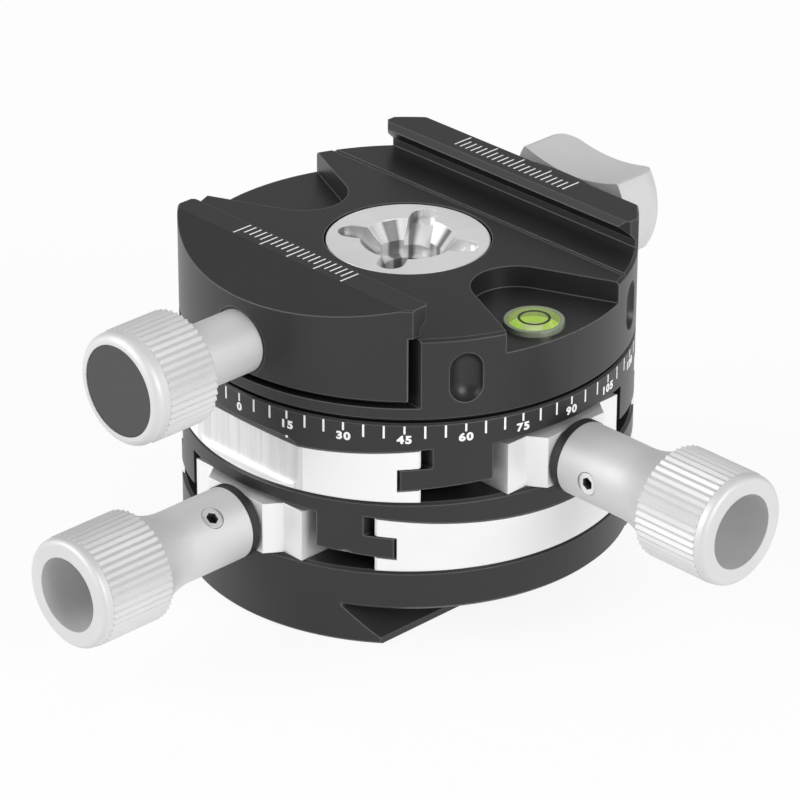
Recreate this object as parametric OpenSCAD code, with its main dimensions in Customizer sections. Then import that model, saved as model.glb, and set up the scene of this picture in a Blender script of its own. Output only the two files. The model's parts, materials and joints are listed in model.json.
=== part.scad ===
// Panning clamp on a levelling base with two geared tilt stages.
// Millimetres, +Z up. The origin is on the pan axis, at the bottom of the dovetail foot.
// The lower stage tilts about X, the upper one about Y. Each is a cradle: silver rails with
// a curved slot hold the curved tongues of the plate above, and a knob turns a worm that
// meshes with a rack under that plate.

/* [Round body] */
// Radius of the round bodies
body_r = 30; // [28:0.5:33]
// Chamfer on the edges of the round bodies
edge_chamfer = 0.4; // [0.2:0.1:0.6]
// Radial gap of a turning fit
run_gap = 0.05; // [0.03:0.01:0.1]
// Gap between faces that slide past each other
slide_gap = 0.15; // [0.1:0.05:0.25]
// Gap between pieces that never touch
free_gap = 0.3; // [0.2:0.05:0.4]

/* [Base] */
// Half width of the dovetail foot at its bottom
foot_half_w = 19; // [17:0.5:21]
// Height of the dovetail foot
foot_h = 5.2; // [4.5:0.1:7]
// Upright edge below the flanks of the foot
foot_edge_h = 0.9; // [0.6:0.1:1.2]
// Thickness of the base disc
base_h = 5.6; // [5:0.1:8]
// Radius of the tapped hole in the foot
tripod_bore_r = 4; // [2.6:0.1:4.2]
// Depth of the tapped hole
tripod_bore_depth = 8.4; // [6:0.1:8.6]

/* [Tilt stages] */
// Radius of the cradle, from the tilt axis to the top of the rails
arc_r = 190; // [170:5:230]
// Height of a rail at its middle
rail_h = 6.2; // [6:0.1:7]
// Thickness of a rail above its slot
prong_t = 2.7; // [2.5:0.1:2.9]
// Thickness of a tongue
tongue_t = 2.85; // [2.6:0.05:2.9]
// How far a tongue reaches past the inner face of its rail
tongue_reach = 2.05; // [1.6:0.05:2.4]
// Gap between a rail and the wall it runs along
neck_gap = 1; // [0.8:0.1:1.3]
// Distance of the lower rails' inner faces from the axis
lower_rail_x = 18.2; // [17.8:0.1:19.5]
// Distance of the upper rails' inner faces from the axis
upper_rail_x = 19.5; // [17.8:0.1:19.6]
// Length cut off each end of a rail
rail_end_cut = 0.35; // [0.2:0.05:0.6]
// Thickness of the middle plate above the lower rails
plate_t = 3.8; // [3.6:0.1:5]
// Depth of the flat milled in the front upper rail
dish_depth = 1.5; // [1:0.1:1.7]
// Height of that flat's lower lip above the seat
dish_lip = 0.15; // [0.1:0.05:0.6]
// Largest tilt each way, in degrees
tilt_max = 2.5; // [1.5:0.1:2.6]

/* [Worm drives] */
// Height of a worm's axis above the seat of its housing
worm_h = 3; // [2.9:0.05:3.1]
// Lead of the worm thread
worm_lead = 2.5; // [2:0.1:2.8]
// Mean radius of the worm thread
worm_r = 2.15; // [2.1:0.05:2.2]
// Depth of the thread each side of its mean radius
thread_half_depth = 0.5; // [0.4:0.05:0.5]
// Length of the worm thread
thread_len = 34; // [33:0.5:34.5]
// Radius of the worm's shaft in its housing
shaft_r = 1.9; // [1.7:0.05:2]
// Radius of the journal at the worm's inner end
tail_r = 1.2; // [1:0.05:1.3]
// Half width of a worm housing
housing_half_w = 10; // [9:0.1:10.3]
// Depth of a worm housing, along its worm
housing_depth = 7.6; // [7:0.1:8]
// Height of a worm housing at its front
housing_h = 7.2; // [6.9:0.05:7.3]
// How far a housing's wings stand back from the rim
wing_inset = 1.4; // [1:0.1:2]
// Half width of the boss on the front of a housing
boss_half_w = 5.1; // [4:0.1:5.5]
// Width of the slope each side of that boss
boss_slope_w = 1.6; // [0.6:0.1:2.4]
// How far that boss stands out from the rim
boss_out = 0.9; // [0.6:0.1:1.1]
// Gap each side of a housing, in its bay
bay_side_gap = 1.7; // [1:0.1:1.8]
// Gap above a housing, in its bay
bay_top_gap = 0.5; // [0.4:0.05:0.6]
// Thickness of the rear bearing block
block_t = 3; // [2.4:0.1:3.4]
// Number of teeth on a rack
rack_teeth = 3; // [3:1:3]
// Half width of a rack
rack_half_w = 6; // [5.6:0.1:6.6]

/* [Stage knobs] */
// Radius of the knob's neck
neck_r = 4.92; // [4.5:0.02:5]
// Length of the neck
neck_len = 9.3; // [8:0.1:11]
// Length of the flare between neck and grip
flare_len = 6.6; // [5:0.1:8]
// Radius of the grip
grip_r = 7.5; // [7:0.1:7.6]
// Length of the grip
grip_len = 11.2; // [9:0.1:14]
// Number of flutes round a grip
flutes = 48; // [36:1:60]
// Depth of a flute
flute_depth = 0.28; // [0.15:0.01:0.35]
// Radius of the round on the rim of a grip
rim_round = 0.7; // [0.4:0.1:0.9]
// Radius of the open hole in the end of a grip
end_bore_r = 5; // [4:0.1:5.8]
// Depth of that hole
end_bore_depth = 11; // [6:0.5:12]
// Thickness of the black washer behind a knob
washer_t = 1.1; // [0.8:0.1:1.3]
// Radius of that washer
washer_r = 5; // [4.6:0.05:5.05]
// Distance of the set screw from the neck's inner end
set_screw_in = 5.1; // [4:0.1:6]
// Radius of the set screw
set_screw_r = 1.5; // [1.2:0.05:1.7]

/* [Dial] */
// Thickness of the dial above the upper rails
dial_t = 5.1; // [4.8:0.1:7]
// Gap between the dial and the clamp
pan_gap = 0.3; // [0.2:0.05:0.5]
// Radius of the hub that the clamp turns on
hub_r = 8; // [7.6:0.1:8.2]
// Height of the hub above the dial
hub_h = 8.9; // [8.5:0.1:9.2]
// Radius of the hub's flange
flange_r = 13; // [12.6:0.1:13.4]
// Thickness of the hub's flange
flange_t = 1.5; // [1.4:0.1:1.6]
// Thickness of the friction ring on that flange
friction_t = 0.6; // [0.5:0.1:0.8]

/* [Clamp body] */
// Height of the clamp's floor above the clamp's underside
floor_h = 11.5; // [11.4:0.1:12.5]
// Distance of the floor's groove from the middle
groove_y = 12; // [11.4:0.1:13]
// Width of that groove
groove_w = 0.6; // [0.4:0.1:1]
// Depth of that groove
groove_depth = 0.3; // [0.2:0.05:0.5]
// Height of the jaws above the floor
jaw_h = 4.1; // [3.8:0.1:4.4]
// Distance of the jaws' tips from the middle
tip_y = 17; // [16.6:0.1:17.3]
// How far the tips lie below the jaws' tops
tip_drop = 0.8; // [0.5:0.1:1]
// Depth and height of each jaw's slanted undercut
root_depth = 2.2; // [2:0.1:2.5]
// Corner cut off each end of the jaws' tips, seen from above
nose_chamfer = 1.2; // [0.6:0.1:1.6]
// Distance of the fixed jaw's back from the middle
fixed_back_y = 22.9; // [22:0.1:24]
// Half width of the fixed jaw
fixed_half_w = 22.6; // [21:0.1:24]
// Depth of the pockets below the floor
pocket_depth = 3; // [2:0.1:3.2]
// Radius of the pockets' round inner ends
pocket_r = 6; // [5:0.1:6.5]
// Distance of those ends' centres from the middle
pocket_x = 20; // [19.5:0.1:21]
// Flare of the pockets' sides, in degrees
pocket_flare = 24; // [15:1:28]
// Height of the upright oval finger recesses
oval_h = 6.9; // [5:0.1:7.5]
// Radius of the cutter that makes those recesses
oval_r = 2.4; // [2:0.1:2.6]
// Depth of those recesses
oval_depth = 1.5; // [1:0.1:1.7]
// Height of the clamp screw's axis above the clamp's underside
screw_h = 6.8; // [6.6:0.1:6.9]
// Radius of the spot face round the lock screw
spot_face_r = 4.4; // [3.4:0.1:4.6]

/* [Centre nut] */
// Radius of the nut's flange
nut_r = 10.8; // [10:0.1:11]
// Thickness of the nut's flange
nut_t = 1.75; // [1.6:0.05:1.9]
// Radius of the nut's barrel
barrel_r = 6.8; // [6.6:0.1:7]
// Radius of the funnel's mouth
funnel_r = 6.3; // [5.8:0.1:6.6]
// Depth of the funnel
funnel_depth = 2.3; // [1.8:0.1:2.8]
// Radius of the cup below the funnel
cup_r = 4.55; // [4:0.05:4.8]
// Depth of the cup's floor
cup_depth = 4.3; // [3.4:0.1:5]
// Radius of the nut's bore
nut_bore_r = 3.3; // [2.8:0.1:3.6]
// Width of the four slots
slot_w = 3.6; // [2.4:0.1:3.8]
// Distance of the slots' outer ends from the axis
slot_reach = 9.5; // [9:0.1:9.8]
// Depth of the slots' flat outer part
slot_depth = 1.2; // [0.9:0.1:1.4]
// Distance from the axis where the slots begin to slope
slot_bend = 7.3; // [7.1:0.1:7.6]
// Turn of the slots from the X axis, in degrees
slot_turn = 29; // [0:1:89]

/* [Sliding jaw] */
// Half width of the sliding jaw's skirt
jaw_half_w = 21.9; // [20:0.1:22]
// Gap each side of the skirt
jaw_side_gap = 0.8; // [0.4:0.1:1]
// Distance of the slot's end wall from the middle
slot_y = 19.7; // [19.5:0.1:20]
// Thickness of the rim left below the jaw
rim_t = 1.9; // [1.4:0.1:2.1]
// Width of the flat on top of the sliding jaw
jaw_flat = 3.4; // [2.6:0.1:4]
// How far the jaw's outer slope falls
slope_drop = 2.6; // [1.5:0.1:3]
// How far the jaw closes past its set width
close_travel = 1; // [0.6:0.1:1]
// How far the jaw opens
open_travel = 7; // [4:0.5:7.5]
// Radius of the guide pins
pin_r = 2; // [1.5:0.1:2.2]
// Distance of the guide pins from the middle
pin_x = 14; // [13:0.1:15]
// Distance of the jaw springs from the middle
spring_x = 8; // [7:0.1:9]
// Mean radius of a jaw spring
spring_r = 1.6; // [1.4:0.1:1.8]
// Radius of a jaw spring's wire
wire_r = 0.3; // [0.2:0.05:0.35]
// Number of turns of a jaw spring
spring_turns = 6; // [4:1:8]

/* [Clamp knob] */
// Radius of the clamp screw
clamp_screw_r = 2.5; // [2:0.1:2.6]
// Radius of the clamp knob's neck
clamp_neck_r = 4.22; // [3.8:0.02:4.4]
// Length of the clamp knob's neck
clamp_neck_len = 9.8; // [8:0.1:12]
// Radius of the clamp knob's grip
clamp_grip_r = 7.6; // [6.8:0.1:8]
// Length of the clamp knob's grip
clamp_grip_len = 10.8; // [8:0.1:13]
// Radius of the round on the rim of the clamp knob's grip
clamp_rim_round = 1.1; // [0.5:0.1:1.3]
// Radius of the dark cap in the clamp knob
cap_r = 6.03; // [5:0.05:6.3]
// Thickness of that cap
cap_t = 1.2; // [0.8:0.1:1.6]

/* [Pan lock] */
// Half length of the wing lever
wing_half = 10.3; // [9:0.1:11]
// Half height of the wings at their ends
wing_half_h = 5.5; // [4.8:0.1:6]
// How far the waist dips below the wings
wing_dip = 1.4; // [0.8:0.1:2]
// Radius of the round on the far edge of the wings
wing_round = 3; // [1:0.1:3.5]
// Depth of the wing lever along its screw
wing_depth = 8.2; // [6:0.1:9]
// Radius of the brass shoe
shoe_r = 2; // [1.6:0.1:2.1]
// Length of the brass shoe
shoe_len = 2.7; // [2.4:0.1:3]
// Radius of the lock screw
lock_screw_r = 2.5; // [2:0.1:2.6]
// Travel of the shoe from free to locked
shoe_travel = 0.2; // [0.1:0.05:0.2]

/* [Bubble level] */
// Radius of the level's cup
level_r = 3.9; // [3.4:0.1:4.2]
// Distance of the level from the pan axis, along X
level_x = 24.9; // [24:0.1:25.2]
// Offset of the level along Y
level_y = -1.9; // [-2.5:0.1:2.5]
// Height of the level's cup
level_h = 4.8; // [4:0.1:5.2]
// How far the level stands above its pocket's floor
level_proud = 0.9; // [0.3:0.1:1.2]
// Wall of the level's cup
level_wall = 0.5; // [0.4:0.1:0.8]

/* [Fasteners] */
// Radius of a rail or housing screw
screw_r = 1.25; // [1:0.05:1.4]
// Radius of its flat head
screw_head_r = 2; // [1.8:0.1:2.2]
// Height of that head
screw_head_h = 1.2; // [1:0.1:1.4]
// How deep a screw holds in its piece
screw_bite = 3.4; // [2.5:0.1:3.8]
// Distance of the rail screws from the middle of their rail
rail_screw_y = 14.2; // [13.9:0.1:15]
// Distance of the housing screws from the worm
housing_screw_x = 7.2; // [6:0.1:7.6]
// Radius of a rack screw
rack_screw_r = 0.9; // [0.7:0.05:1]
// Distance of the rack screws from the middle of their rack
rack_screw_x = 4.2; // [3.9:0.1:4.4]
// Radius of the hub screws' circle
hub_screw_circle = 10.6; // [10.3:0.1:10.8]
// Turn of the hub screws from the X axis, in degrees
hub_screw_turn = 45; // [40:1:50]

/* [Hidden] */
$fn = 96;

// A length longer than the whole object, for cutters
far = 3 * body_r;
// The overlap of a cutter past the face that it cuts
cut = 1;
black = [0.16, 0.16, 0.17];
silver = [0.86, 0.86, 0.87];
steel = [0.6, 0.61, 0.63];
brass = [0.75, 0.6, 0.3];

// Heights of the stack
base_top = foot_h + base_h;
stage_pitch = rail_h + plate_t;
seat_z = [base_top, base_top + stage_pitch];
dial_h = rail_h + dial_t;
dial_top = seat_z[1] + dial_h;
clamp_z = dial_top + pan_gap;
floor_z = clamp_z + floor_h;
jaw_top = floor_z + jaw_h;
pocket_z = floor_z - pocket_depth;
screw_z = clamp_z + screw_h;

// The cradle, in a stage's own frame: seat at 0, travel along Y, knob towards -Y
tilt_h = arc_r + rail_h;
tongue_r = arc_r + prong_t;
under_r = tongue_r + tongue_t;
travel = arc_r * tilt_max * PI / 180;
wing_y = body_r - wing_inset;
boss_y = body_r + boss_out;
housing_back = wing_y - housing_depth;
housing_top_r = norm([wing_y, tilt_h - housing_h]);
bay_ceiling_r = housing_top_r - bay_top_gap;
channel_ceiling_r = arc_r - slide_gap;
bay_back = housing_back - travel - free_gap;
bay_half_w = housing_half_w + bay_side_gap;

// The worm and its rack
crest_r = worm_r + thread_half_depth;
root_r = worm_r - thread_half_depth;
collar_t = 0.8;
thread_y = -(housing_back - free_gap - collar_t);
block_y = thread_y + thread_len + free_gap;
block_half_w = 4;
block_h = worm_h + crest_r - 0.1;
channel_half_w = block_half_w + free_gap;
channel_len = block_y + block_t + travel + free_gap;
pitch_r = tilt_h - worm_h - worm_r;
tooth_turn = worm_lead / pitch_r * 180 / PI;
helix = atan(worm_lead / (2 * PI * worm_r));
rack_bottom = worm_h + crest_r + free_gap;
rack_top = rail_h + plate_t / 2;
rack_half_l = worm_lead * rack_teeth / 2;

// The knobs
knob_y = boss_y + free_gap + washer_t + run_gap;
flare_y = knob_y + neck_len;
grip_y = flare_y + flare_len;
knob_end = grip_y + grip_len;
// How far a flare's end lies below the bottoms of the flutes
flare_sink = 0.1;
flare_end_r = grip_r - flute_depth - flare_sink;
flare_rise = flare_end_r - neck_r;
flare_bend_r = (flare_len * flare_len + flare_rise * flare_rise) / (2 * flare_rise);

// The clamp
counterbore_z = floor_z - nut_t;
nut_top = floor_z - 0.1;
slot_slope_depth = slot_depth + 1.9;
root_y = tip_y + root_depth;
skirt_y = slot_y + close_travel + 0.2;
slot_z = clamp_z + rim_t;
jaw_bottom = slot_z + 0.7;
jaw_under = floor_z + slide_gap;
slot_half_w = jaw_half_w + jaw_side_gap;
jaw_face = body_r - 0.4;
bore_end = hub_r + 1;
screw_tip = bore_end + close_travel + 0.3;
// Height of the guide pins and springs, and how far each pin sits in the jaw and the body
pin_z = screw_z - 1.7;
pin_in_jaw = 4;
pin_in_body = 9;
pin_bore_end = slot_y - pin_in_body - close_travel - free_gap;
// Length of a spring pressed together
spring_len = 6.1;
lever_y = body_r + 0.5;
shoe_tip = hub_r + shoe_travel + 0.1;
lock_start = shoe_tip + shoe_len;
level_z = pocket_z + level_proud - level_h;

// Places its children on the lower stage (0) or the upper stage (1)
module on_stage(level)
    translate([0, 0, seat_z[level]])
        rotate([0, 0, 90 * level])
            children();

// Everything within a distance of the tilt axis
module within(r)
    translate([0, 0, tilt_h])
        rotate([0, 90, 0])
            cylinder(r = r, h = far, center = true, $fn = 720);

// A disc with a chamfer on either edge
module round_body(r, z0, z1, low = edge_chamfer, high = edge_chamfer)
    rotate_extrude()
        polygon([
            [0, z0], [r - low, z0], [r, z0 + low],
            [r, z1 - high], [r - high, z1], [0, z1]
        ]);

// A cylinder along -Y, from one distance from the axis to another
module rod(r, y0, y1, z = worm_h)
    translate([0, -y0, z])
        rotate([90, 0, 0])
            cylinder(r = r, h = y1 - y0);

// A flat-head screw with its head's face at the origin, driven upward
module flat_screw(length, r = screw_r, head_r = screw_head_r) {
    cylinder(r1 = head_r, r2 = r, h = screw_head_h);
    cylinder(r = r, h = length);
}

// The hole for such a screw
module screw_hole(length, r = screw_r, head_r = screw_head_r) {
    translate([0, 0, -cut])
        cylinder(r = head_r + run_gap, h = cut + run_gap);
    cylinder(r1 = head_r + run_gap, r2 = r + run_gap, h = screw_head_h + run_gap);
    cylinder(r = r + run_gap, h = length + free_gap);
}

// Distance of the rail screws from the axis, across the rail
function rail_screw_x(rail_x) =
    (rail_x + tongue_reach + free_gap + sqrt(body_r * body_r - rail_screw_y * rail_screw_y)) / 2;

// Height of the underside of a stage's plate, at a distance along its travel
function under_h(y) = tilt_h - sqrt(under_r * under_r - y * y);

// One rail of a stage, on its +X side
module rail(rail_x) {
    end_y = sqrt(body_r * body_r - rail_x * rail_x) - rail_end_cut;
    difference() {
        intersection() {
            round_body(body_r, 0, 2 * rail_h, 0.15, 0.15);
            translate([rail_x, -end_y, 0])
                cube([body_r, 2 * end_y, 2 * rail_h]);
        }
        within(arc_r + slide_gap);
        rail_slot(rail_x);
        for (side = [-1, 1])
            translate([rail_screw_x(rail_x), side * rail_screw_y, -cut])
                cylinder(r = screw_r + run_gap, h = cut + screw_bite + free_gap, $fn = 32);
    }
}

// The curved slot of a rail, open to the inside and to both ends
module rail_slot(rail_x)
    intersection() {
        difference() {
            within(under_r + slide_gap);
            within(tongue_r - slide_gap);
        }
        translate([0, -far / 2, -rail_h])
            cube([rail_x + tongue_reach + free_gap, far, 3 * rail_h]);
    }

// The flat milled across the outside of the front upper rail by a cutter with round corners
module dish()
    translate([-body_r - cut, 0, 0])
        rotate([90, 0, 0])
            linear_extrude(height = body_r, center = true)
                intersection() {
                    square([cut + dish_depth, far]);
                    union() {
                        for (z = [dish_lip + dish_depth, rail_h])
                            translate([cut, z])
                                circle(r = dish_depth, $fn = 64);
                        translate([0, dish_lip + dish_depth])
                            square([cut + dish_depth, rail_h - dish_lip - dish_depth]);
                    }
                }

// A plate that rides on a stage's rails, with its tongues, bay and worm channel
module cradled_plate(rail_x, height, low_chamfer = 0.15, high_chamfer = edge_chamfer) {
    wall_x = rail_x - neck_gap;
    difference() {
        intersection() {
            round_body(body_r, 0, height, low_chamfer, high_chamfer);
            union() {
                within(under_r);
                translate([-far, -far, height / 2])
                    cube([2 * far, 2 * far, height]);
            }
        }
        for (side = [0, 180])
            rotate([0, 0, side]) {
                difference() {
                    translate([wall_x, -far / 2, -cut])
                        cube([body_r, far, rail_h + 3 * cut]);
                    within(arc_r);
                    translate([0, -far / 2, -cut])
                        intersection() {
                            translate([wall_x, 0, 0])
                                cube([rail_x + tongue_reach - wall_x, far, far]);
                            translate([0, far / 2, cut])
                                difference() {
                                    within(under_r + cut);
                                    within(tongue_r);
                                }
                        }
                }
            }
        bay();
        channel();
        translate([-rack_half_w - run_gap, -rack_half_l - run_gap, 0])
            cube([2 * (rack_half_w + run_gap), 2 * (rack_half_l + run_gap), rack_top]);
    }
}

// The room for the worm housing, open at the front rim
module bay()
    difference() {
        translate([-bay_half_w, -far / 2, -cut])
            cube([2 * bay_half_w, far / 2 - bay_back, far]);
        within(bay_ceiling_r);
    }

// The closed channel for the worm and its rear bearing
module channel()
    difference() {
        translate([-channel_half_w, -channel_len, -cut])
            cube([2 * channel_half_w, 2 * channel_len, far]);
        within(channel_ceiling_r);
    }

// A worm housing: block with a curved top, boss with ramped sides, bore along the worm
module worm_housing()
    difference() {
        intersection() {
            linear_extrude(height = housing_h)
                polygon([
                    [-housing_half_w, -housing_back], [-housing_half_w, -wing_y],
                    [-boss_half_w - boss_slope_w, -wing_y], [-boss_half_w, -boss_y],
                    [boss_half_w, -boss_y], [boss_half_w + boss_slope_w, -wing_y],
                    [housing_half_w, -wing_y], [housing_half_w, -housing_back]
                ]);
            union() {
                difference() {
                    translate([-far / 2, -far / 2, 0])
                        cube([far, far, 2 * housing_h]);
                    within(housing_top_r);
                }
                translate([-far / 2, -far / 2, 0])
                    cube([far, far / 2 - wing_y, 2 * housing_h]);
            }
        }
        rod(shaft_r + run_gap, 0, far);
        for (side = [-1, 1])
            translate([side * housing_screw_x, -(wing_y + housing_back) / 2, -cut])
                cylinder(r = screw_r + run_gap, h = cut + screw_bite + free_gap, $fn = 32);
    }

// The block that carries a worm's inner end
module end_bearing()
    difference() {
        translate([-block_half_w, block_y, 0])
            cube([2 * block_half_w, block_t, block_h]);
        rod(tail_r + run_gap, -far, 0);
    }

// A worm: shaft, thrust collar, helical thread and inner journal
module worm() {
    rod(shaft_r, -thread_y, knob_y + neck_len);
    rod(crest_r, -thread_y, -thread_y + collar_t);
    worm_thread();
    rod(tail_r, -block_y - block_t, -block_y + free_gap + cut);
}

// The thread is a round section carried off its axis and twisted
module worm_thread()
    translate([0, thread_y, worm_h])
        rotate([-90, 0, 0])
            rotate([0, 0, 90 + 360 * thread_y / worm_lead])
                linear_extrude(
                    height = thread_len,
                    twist = -360 * thread_len / worm_lead,
                    slices = round(8 * thread_len / worm_lead),
                    $fn = 12
                )
                    translate([thread_half_depth, 0])
                        circle(r = worm_r);

// A rack: a plate with wedge teeth that lean with the worm's thread
module rack() {
    difference() {
        translate([-rack_half_w, -rack_half_l, rack_bottom])
            cube([2 * rack_half_w, 2 * rack_half_l, rack_top - rack_bottom]);
        for (side = [-1, 1])
            translate([side * rack_screw_x, 0, rack_bottom - cut])
                cylinder(r = rack_screw_r + run_gap, h = far, $fn = 32);
    }
    for (k = [0 : rack_teeth - 1])
        translate([0, 0, tilt_h])
            rotate([(k - (rack_teeth - 1) / 2) * tooth_turn, 0, 0])
                translate([0, 0, -tilt_h])
                    rack_tooth();
}

// One tooth, at the middle of its rack
module rack_tooth() {
    tip_z = worm_h + root_r + 0.25;
    base_z = rack_bottom + 0.2;
    tip_w = 0.2;
    base_w = tip_w + 0.85 * (base_z - tip_z);
    rotate([0, 0, helix])
        rotate([90, 0, 90])
            linear_extrude(height = 3.2, center = true)
                polygon([
                    [-tip_w, tip_z], [tip_w, tip_z], [base_w, base_z], [-base_w, base_z]
                ]);
}

// The two screws of a rack, from above
module rack_screws(height)
    for (side = [-1, 1])
        translate([side * rack_screw_x, 0, height - run_gap])
            rotate([180, 0, 0])
                flat_screw(height - rack_bottom - free_gap, rack_screw_r, rack_screw_r + 0.9);

// Their holes
module rack_screw_holes(height)
    for (side = [-1, 1])
        translate([side * rack_screw_x, 0, height - run_gap])
            rotate([180, 0, 0])
                screw_hole(height - rack_bottom, rack_screw_r, rack_screw_r + 0.9);

// The black washer between a housing and its knob
module knob_washer()
    difference() {
        rod(washer_r, boss_y + free_gap, boss_y + free_gap + washer_t);
        rod(shaft_r + run_gap, boss_y, far);
    }

// A fluted grip along -Y from y0 to y1: flutes stop short of a rounded rim
module grip(r, y0, y1, z, round_r = rim_round) {
    rim = 2 * round_r;
    translate([0, -y0, z])
        rotate([90, 0, 0]) {
            linear_extrude(height = y1 - y0 - rim)
                polygon([
                    for (k = [0 : 2 * flutes - 1])
                        let (a = 180 * k / flutes, s = r - flute_depth * (k % 2))
                            [s * cos(a), s * sin(a)]
                ]);
            translate([0, 0, y1 - y0])
                rotate_extrude()
                    difference() {
                        union() {
                            translate([0, -rim])
                                square([r - flute_depth / 2, rim - round_r]);
                            translate([0, -round_r])
                                square([r - flute_depth / 2 - round_r, round_r]);
                            translate([r - flute_depth / 2 - round_r, -round_r])
                                circle(r = round_r, $fn = 32);
                        }
                        translate([-far, -far])
                            square([far, 2 * far]);
                    }
        }
}

// A stage knob, with its shaft hole, set screw hole and open end
module stage_knob(set_angle)
    difference() {
        union() {
            rod(neck_r, knob_y, flare_y);
            translate([0, -flare_y, worm_h])
                rotate([90, 0, 0])
                    rotate_extrude()
                        flare_half();
            grip(grip_r, grip_y, knob_end, worm_h);
        }
        rod(shaft_r + run_gap, knob_y - cut, flare_y + free_gap);
        rod(end_bore_r, knob_end - end_bore_depth, far);
        set_screw_place(set_angle)
            cylinder(r = set_screw_r + run_gap, h = neck_r + cut, $fn = 48);
    }

// Half section of a flare: its hollow side leaves the neck without a corner
module flare_half()
    difference() {
        square([flare_end_r, flare_len]);
        translate([neck_r + flare_bend_r, 0])
            circle(r = flare_bend_r, $fn = 180);
    }

// Places a set screw: its axis radial in the neck, turned from up towards +X
module set_screw_place(set_angle)
    translate([0, -knob_y - set_screw_in, worm_h])
        rotate([0, set_angle, 0])
            children();

// A set screw with its hexagon socket
module set_screw(set_angle)
    set_screw_place(set_angle)
        difference() {
            translate([0, 0, shaft_r + run_gap])
                cylinder(r = set_screw_r, h = neck_r - shaft_r - 0.25, $fn = 48);
            translate([0, 0, neck_r - 1.6])
                cylinder(r = 0.75 / cos(30), h = 2, $fn = 6);
        }

// The screws that hold both rails of a stage, driven up through the plate below
module rail_screws(rail_x, head_z)
    for (sx = [-1, 1], sy = [-1, 1])
        translate([sx * rail_screw_x(rail_x), sy * rail_screw_y, head_z])
            flat_screw(screw_bite - head_z, $fn = 48);

// Their holes in that plate
module rail_screw_holes(rail_x, head_z)
    for (sx = [-1, 1], sy = [-1, 1])
        translate([sx * rail_screw_x(rail_x), sy * rail_screw_y, head_z])
            screw_hole(screw_bite - head_z, $fn = 48);

// The two screws of a worm housing
module housing_screws(head_z)
    for (side = [-1, 1])
        translate([side * housing_screw_x, -(wing_y + housing_back) / 2, head_z])
            flat_screw(screw_bite - head_z, $fn = 48);

// Their holes
module housing_screw_holes(head_z)
    for (side = [-1, 1])
        translate([side * housing_screw_x, -(wing_y + housing_back) / 2, head_z])
            screw_hole(screw_bite - head_z, $fn = 48);

// Head heights, from a stage's seat down: in the base's underside, in the foot's
// bottom, and in the middle plate's curved underside
base_head_z = -base_h + free_gap;
foot_head_z = -base_top + free_gap;
plate_rail_head_z = under_h(rail_screw_x(upper_rail_x)) + free_gap - stage_pitch;
plate_housing_head_z = rail_h + free_gap + 0.2 - stage_pitch;

module base_plate()
    color(black)
        difference() {
            union() {
                round_body(body_r, foot_h, base_top);
                intersection() {
                    round_body(body_r, 0, foot_h + cut, 0.3, 0.3);
                    rotate([90, 0, 0])
                        linear_extrude(height = far, center = true)
                            polygon([
                                [-foot_half_w, 0], [foot_half_w, 0],
                                [foot_half_w, foot_edge_h],
                                [foot_half_w - foot_h + foot_edge_h, foot_h],
                                [foot_half_w - foot_h + foot_edge_h, foot_h + cut],
                                [-foot_half_w + foot_h - foot_edge_h, foot_h + cut],
                                [-foot_half_w + foot_h - foot_edge_h, foot_h],
                                [-foot_half_w, foot_edge_h]
                            ]);
                }
            }
            translate([0, 0, -cut])
                cylinder(r = tripod_bore_r, h = tripod_bore_depth + cut);
            on_stage(0) {
                rail_screw_holes(lower_rail_x, base_head_z);
                housing_screw_holes(foot_head_z);
            }
        }

module lower_rail_left()
    color(silver) on_stage(0) rotate([0, 0, 180]) rail(lower_rail_x);

module lower_rail_right()
    color(silver) on_stage(0) rail(lower_rail_x);

module lower_rail_screws()
    color(steel) on_stage(0) rail_screws(lower_rail_x, base_head_z);

module lower_worm_housing()
    color(silver) on_stage(0) worm_housing();

module lower_housing_screws()
    color(steel) on_stage(0) housing_screws(foot_head_z);

module lower_end_bearing()
    color(brass) on_stage(0) end_bearing();

module lower_worm()
    color(steel) on_stage(0) worm();

module lower_washer()
    color(black) on_stage(0) knob_washer();

module lower_knob()
    color(silver) on_stage(0) stage_knob(37);

module lower_set_screw()
    color(steel) on_stage(0) set_screw(37);

module middle_plate()
    color(black)
        difference() {
            on_stage(0)
                difference() {
                    cradled_plate(lower_rail_x, stage_pitch);
                    rack_screw_holes(stage_pitch);
                }
            on_stage(1) {
                rail_screw_holes(upper_rail_x, plate_rail_head_z);
                housing_screw_holes(plate_housing_head_z);
            }
        }

module lower_rack()
    color(brass) on_stage(0) rack();

module lower_rack_screws()
    color(steel) on_stage(0) rack_screws(stage_pitch);

module upper_rail_front()
    color(silver)
        on_stage(1)
            difference() {
                rotate([0, 0, 180]) rail(upper_rail_x);
                dish();
            }

module upper_rail_back()
    color(silver) on_stage(1) rail(upper_rail_x);

module upper_rail_screws()
    color(steel) on_stage(1) rail_screws(upper_rail_x, plate_rail_head_z);

module upper_worm_housing()
    color(silver) on_stage(1) worm_housing();

module upper_housing_screws()
    color(steel) on_stage(1) housing_screws(plate_housing_head_z);

module upper_end_bearing()
    color(brass) on_stage(1) end_bearing();

module upper_worm()
    color(steel) on_stage(1) worm();

module upper_washer()
    color(black) on_stage(1) knob_washer();

module upper_knob()
    color(silver) on_stage(1) stage_knob(-90);

module upper_set_screw()
    color(steel) on_stage(1) set_screw(-90);

module dial_body()
    color(black)
        on_stage(1)
            difference() {
                cradled_plate(upper_rail_x, dial_h, 0.15, 0.25);
                rack_screw_holes(dial_h);
                dish();
                for (k = [0 : 3])
                    rotate([0, 0, hub_screw_turn + 90 * k])
                        translate([hub_screw_circle, 0, dial_h - screw_bite - free_gap])
                            cylinder(r = screw_r + run_gap, h = far, $fn = 32);
            }

module upper_rack()
    color(brass) on_stage(1) rack();

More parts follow.
